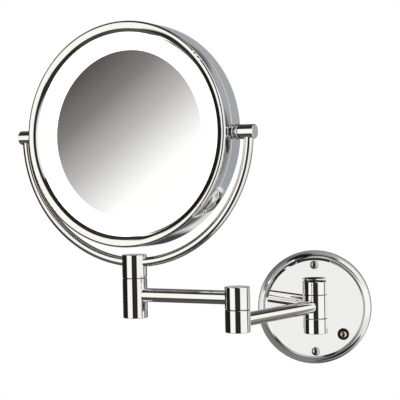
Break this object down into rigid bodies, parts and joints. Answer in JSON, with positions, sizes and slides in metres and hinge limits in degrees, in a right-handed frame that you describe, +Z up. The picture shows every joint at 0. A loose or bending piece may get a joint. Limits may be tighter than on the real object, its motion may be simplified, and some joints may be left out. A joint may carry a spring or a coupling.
{
  "type": "extendable shaving mirror",
  "caption": "Round two-sided mirror with a lit ring, hung in a half-ring yoke on a folding wall arm with a round wall plate and a push switch.",
  "frame": {"origin": "centre of the wall plate, on the back of the wall bracket, which lies on the wall", "axes": "+Y into the wall, so the mirror stands out towards -Y; +Z up; +X to the right of a person facing the wall"},
  "size_m": [0.3526, 0.1634, 0.3465],
  "materials": {
    "chrome": "polished",
    "steel": "plain",
    "black_plastic": "matte",
    "diffuser": "frosted, lit from behind",
    "mirror_glass": "polished",
    "white_plastic": "matte",
    "lamp": "clear lamp",
    "bronze": "polished",
    "aluminium": "plain"
  },
  "bodies": {
    "wall_base": {"wall_plate": "chrome", "wall_bracket": "steel", "bracket_pillars": "steel", "cover_screws": "chrome", "post_necks": "chrome", "neck_nuts": "steel", "stiffener_strip": "steel", "wall_post_top": "chrome", "wall_post_bottom": "chrome", "wall_post_pin": "steel", "wall_post_caps": "chrome", "wall_post_washers": "black_plastic", "terminal_block": "black_plastic", "lamp_driver": "black_plastic", "switch_body": "black_plastic", "switch_nut": "bronze"},
    "switch_plunger": {"switch_button": "bronze"},
    "inner_arm": {"wall_post_sleeve": "chrome", "inner_arm_tube": "chrome", "elbow_lower_barrel": "chrome", "elbow_bottom_cap": "chrome", "elbow_pin": "steel", "elbow_clip": "steel", "elbow_washer": "black_plastic"},
    "outer_arm": {"elbow_upper_barrel": "chrome", "elbow_top_cap": "chrome", "outer_arm_tube": "chrome", "head_post_lower_barrel": "chrome", "head_post_bottom_cap": "chrome", "head_post_washer": "black_plastic"},
    "yoke": {"head_post_upper_barrel": "chrome", "head_post_pin": "steel", "head_post_clip": "steel", "yoke_tube": "chrome", "left_pivot_boss": "chrome", "right_pivot_boss": "chrome", "boss_caps": "chrome"},
    "mirror_head": {"front_shell": "chrome", "rear_shell": "chrome", "front_retaining_ring": "aluminium", "rear_retaining_ring": "aluminium", "front_seal": "black_plastic", "rear_seal": "black_plastic", "front_diffuser": "diffuser", "rear_diffuser": "diffuser", "front_mirror": "mirror_glass", "rear_mirror": "mirror_glass", "front_light_tray": "white_plastic", "rear_light_tray": "white_plastic", "front_lamp_board": "white_plastic", "rear_lamp_board": "white_plastic", "front_lamps": "lamp", "rear_lamps": "lamp", "chassis_ring": "aluminium", "pivot_spindles": "steel", "spindle_clips": "steel", "pivot_collars": "chrome", "tilt_washers": "chrome"}
  },
  "joints": [
    {"name": "wall_swing", "type": "hinge", "parent": "wall_base", "child": "inner_arm", "pos_m": [0, -0.0325, 0.004], "axis": [0, 0, 1], "range_deg": [-57.1, 122.9]},
    {"name": "elbow_swing", "type": "hinge", "parent": "inner_arm", "child": "outer_arm", "pos_m": [-0.07507, -0.14854, 0.015], "axis": [0, 0, -1], "range_deg": [-245.9, 84.1]},
    {"name": "yoke_swivel", "type": "hinge", "parent": "outer_arm", "child": "yoke", "pos_m": [-0.17516, -0.10439, 0.042], "axis": [0, 0, 1], "range_deg": [-170, 170]},
    {"name": "head_tilt", "type": "hinge", "parent": "yoke", "child": "mirror_head", "pos_m": [-0.17516, -0.10439, 0.1797], "axis": [0.9164, -0.4003, 0], "range_deg": [-180, 180]},
    {"name": "switch_press", "type": "slide", "parent": "wall_base", "child": "switch_plunger", "axis": [0, 1, 0], "range_m": [0, 0.0015], "stiffness_N_per_m": 800, "springref_m": -0.001}
  ]
}
